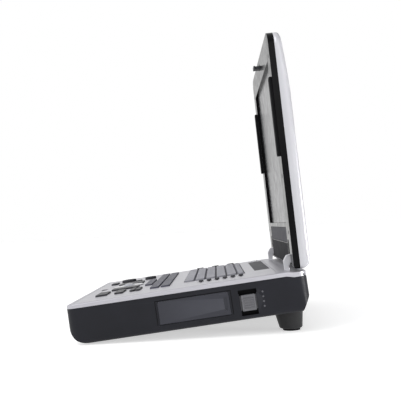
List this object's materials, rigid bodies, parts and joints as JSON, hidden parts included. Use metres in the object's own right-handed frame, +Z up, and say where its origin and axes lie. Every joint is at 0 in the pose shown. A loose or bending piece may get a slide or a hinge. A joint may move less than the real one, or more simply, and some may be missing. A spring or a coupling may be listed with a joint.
{
  "type": "clamshell portable console",
  "caption": "Clamshell portable console: tilted thick base with keyboard, trackball, dials and level sliders, and a hinged display lid with a hook latch.",
  "frame": {"origin": "centre of the outline, on the plane the feet stand on", "axes": "+Z up, +Y towards the rear (hinge side), +X to the user's right"},
  "size_m": [0.3808, 0.3597, 0.4462],
  "materials": {
    "case_charcoal": "fine textured charcoal plastic",
    "deck_silver": "satin silver paint",
    "lid_silver": "satin silver paint",
    "bezel_black": "glossy black plastic",
    "key_light": "satin light grey plastic",
    "key_dark": "satin dark grey plastic",
    "key_blue_grey": "satin blue-grey plastic",
    "latch_grey": "satin mid-grey plastic",
    "socket_black": "matte black plastic",
    "chin_grey": "matte dark grey plastic",
    "rubber_black": "matte black rubber",
    "foot_grey": "satin dark grey plastic",
    "ball_grey": "polished grey resin",
    "ring_silver": "satin aluminium",
    "screen_glass": "anti-glare dark glass",
    "lcd_module": "panel module",
    "window_glass": "smoked window",
    "lens_white": "milky lens",
    "hinge_silver": "satin cast alloy",
    "steel": "plated steel",
    "fin_aluminium": "extruded",
    "circuit_board": "green solder mask",
    "battery_grey": "shrink-wrapped cells"
  },
  "bodies": {
    "base": {"bottom_case": "case_charcoal", "top_deck": "deck_silver", "rear_feet": "foot_grey", "rear_foot_pads": "rubber_black", "front_pads": "rubber_black", "base_screws": "steel", "keyboard_backplate": "socket_black", "trackball_ring": "ring_silver", "trackball_cup": "socket_black", "status_window": "window_glass", "port_bay": "socket_black", "side_ports": "socket_black", "latch_housing": "socket_black", "indicator_lenses": "lens_white", "control_board": "circuit_board", "main_board": "circuit_board", "heat_sink": "fin_aluminium", "battery_pack": "battery_grey", "storage_drive": "steel", "fan_housing": "socket_black", "rear_connector_panel": "socket_black", "hinge_brackets": "hinge_silver", "hinge_pins": "steel"},
    "lid": {"lid_bezel": "bezel_black", "lid_back_cover": "lid_silver", "display_glass": "screen_glass", "lcd_panel": "lcd_module", "display_driver_board": "circuit_board", "chin_panel": "chin_grey", "side_strips": "rubber_black", "lid_screws": "socket_black", "hinge_barrels": "steel"},
    "lid_latch": {"latch_hook": "key_dark", "latch_slider": "latch_grey"},
    "side_door": {"side_door": "case_charcoal"},
    "side_latch": {"side_latch": "latch_grey"},
    "power_button": {"power_button": "ring_silver"},
    "trackball": {"trackball": "ball_grey"},
    "trackball_key_left": {"trackball_key_left": "key_dark"},
    "trackball_key_right": {"trackball_key_right": "key_dark"},
    "front_dial": {"front_dial": "key_dark"},
    "rear_dial": {"rear_dial": "key_dark"},
    "level_slider_1": {"level_slider_1": "key_dark"},
    "level_slider_2": {"level_slider_2": "key_dark"},
    "level_slider_3": {"level_slider_3": "key_dark"},
    "level_slider_4": {"level_slider_4": "key_dark"},
    "level_slider_5": {"level_slider_5": "key_dark"},
    "level_slider_6": {"level_slider_6": "key_dark"},
    "key_row_1": {"key_row_1": "key_light"},
    "key_row_2": {"key_row_2": "key_light"},
    "key_row_3": {"key_row_3": "key_light"},
    "key_row_4": {"key_row_4": "key_light"},
    "key_row_5": {"key_row_5": "key_light"},
    "key_row_6": {"key_row_6": "key_light"},
    "left_key_cluster": {"left_key_cluster": "key_dark"},
    "right_key_cluster": {"right_key_cluster": "key_dark"},
    "function_keys": {"function_keys": "key_blue_grey"},
    "side_keys": {"side_keys": "key_dark"},
    "fan_rotor": {"fan_rotor": "socket_black"}
  },
  "joints": [
    {"name": "lid_hinge", "type": "hinge", "parent": "base", "child": "lid", "pos_m": [0, 0.16676, 0.11028], "axis": [1, 0, 0], "range_deg": [-30, 92.3]},
    {"name": "lid_latch_slide", "type": "slide", "parent": "lid", "child": "lid_latch", "axis": [1, 0, 0], "range_m": [0, 0.004], "stiffness_N_per_m": 300, "springref_m": -0.002},
    {"name": "side_door_hinge", "type": "hinge", "parent": "base", "child": "side_door", "pos_m": [0.18845, 0.00923, 0.02864], "axis": [0, 0.9957, 0.0924], "range_deg": [0, 90]},
    {"name": "side_latch_slide", "type": "slide", "parent": "base", "child": "side_latch", "axis": [0, -0.0924, 0.9957], "range_m": [0, 0.006]},
    {"name": "power_button_press", "type": "slide", "parent": "base", "child": "power_button", "axis": [0, 0.0924, -0.9957], "range_m": [0, 0.001], "stiffness_N_per_m": 400, "springref_m": -0.001},
    {"name": "trackball_roll", "type": "hinge", "parent": "base", "child": "trackball", "pos_m": [0, -0.1084, 0.05162], "axis": [1, 0, 0], "continuous": true},
    {"name": "trackball_key_left_press", "type": "slide", "parent": "base", "child": "trackball_key_left", "axis": [0, 0.0924, -0.9957], "range_m": [0, 0.001], "stiffness_N_per_m": 500, "springref_m": -0.001},
    {"name": "trackball_key_right_press", "type": "slide", "parent": "base", "child": "trackball_key_right", "axis": [0, 0.0924, -0.9957], "range_m": [0, 0.001], "stiffness_N_per_m": 500, "springref_m": -0.001},
    {"name": "front_dial_turn", "type": "hinge", "parent": "base", "child": "front_dial", "pos_m": [-0.11, -0.12332, 0.0663], "axis": [0, -0.0924, 0.9957], "continuous": true},
    {"name": "rear_dial_turn", "type": "hinge", "parent": "base", "child": "rear_dial", "pos_m": [-0.105, -0.08199, 0.07014], "axis": [0, -0.0924, 0.9957], "continuous": true},
    {"name": "level_slider_1_slide", "type": "slide", "parent": "base", "child": "level_slider_1", "axis": [1, 0, 0], "range_m": [-0.012, 0.012]},
    {"name": "level_slider_2_slide", "type": "slide", "parent": "base", "child": "level_slider_2", "axis": [1, 0, 0], "range_m": [-0.012, 0.012]},
    {"name": "level_slider_3_slide", "type": "slide", "parent": "base", "child": "level_slider_3", "axis": [1, 0, 0], "range_m": [-0.012, 0.012]},
    {"name": "level_slider_4_slide", "type": "slide", "parent": "base", "child": "level_slider_4", "axis": [1, 0, 0], "range_m": [-0.012, 0.012]},
    {"name": "level_slider_5_slide", "type": "slide", "parent": "base", "child": "level_slider_5", "axis": [1, 0, 0], "range_m": [-0.012, 0.012]},
    {"name": "level_slider_6_slide", "type": "slide", "parent": "base", "child": "level_slider_6", "axis": [1, 0, 0], "range_m": [-0.012, 0.012]},
    {"name": "key_row_1_press", "type": "slide", "parent": "base", "child": "key_row_1", "axis": [0, 0.0924, -0.9957], "range_m": [0, 0.002], "stiffness_N_per_m": 600, "springref_m": -0.002},
    {"name": "key_row_2_press", "type": "slide", "parent": "base", "child": "key_row_2", "axis": [0, 0.0924, -0.9957], "range_m": [0, 0.002], "stiffness_N_per_m": 600, "springref_m": -0.002},
    {"name": "key_row_3_press", "type": "slide", "parent": "base", "child": "key_row_3", "axis": [0, 0.0924, -0.9957], "range_m": [0, 0.002], "stiffness_N_per_m": 600, "springref_m": -0.002},
    {"name": "key_row_4_press", "type": "slide", "parent": "base", "child": "key_row_4", "axis": [0, 0.0924, -0.9957], "range_m": [0, 0.002], "stiffness_N_per_m": 600, "springref_m": -0.002},
    {"name": "key_row_5_press", "type": "slide", "parent": "base", "child": "key_row_5", "axis": [0, 0.0924, -0.9957], "range_m": [0, 0.002], "stiffness_N_per_m": 600, "springref_m": -0.002},
    {"name": "key_row_6_press", "type": "slide", "parent": "base", "child": "key_row_6", "axis": [0, 0.0924, -0.9957], "range_m": [0, 0.002], "stiffness_N_per_m": 600, "springref_m": -0.002},
    {"name": "left_key_cluster_press", "type": "slide", "parent": "base", "child": "left_key_cluster", "axis": [0, 0.0924, -0.9957], "range_m": [0, 0.0015], "stiffness_N_per_m": 800, "springref_m": -0.0015},
    {"name": "right_key_cluster_press", "type": "slide", "parent": "base", "child": "right_key_cluster", "axis": [0, 0.0924, -0.9957], "range_m": [0, 0.0015], "stiffness_N_per_m": 800, "springref_m": -0.0015},
    {"name": "function_keys_press", "type": "slide", "parent": "base", "child": "function_keys", "axis": [0, 0.0924, -0.9957], "range_m": [0, 0.0015], "stiffness_N_per_m": 800, "springref_m": -0.0015},
    {"name": "side_keys_press", "type": "slide", "parent": "base", "child": "side_keys", "axis": [0, 0.0924, -0.9957], "range_m": [0, 0.0015], "stiffness_N_per_m": 800, "springref_m": -0.0015},
    {"name": "fan_spin", "type": "hinge", "parent": "base", "child": "fan_rotor", "pos_m": [-0.15, 0.08764, 0.03867], "axis": [0, -0.0924, 0.9957], "continuous": true}
  ]
}
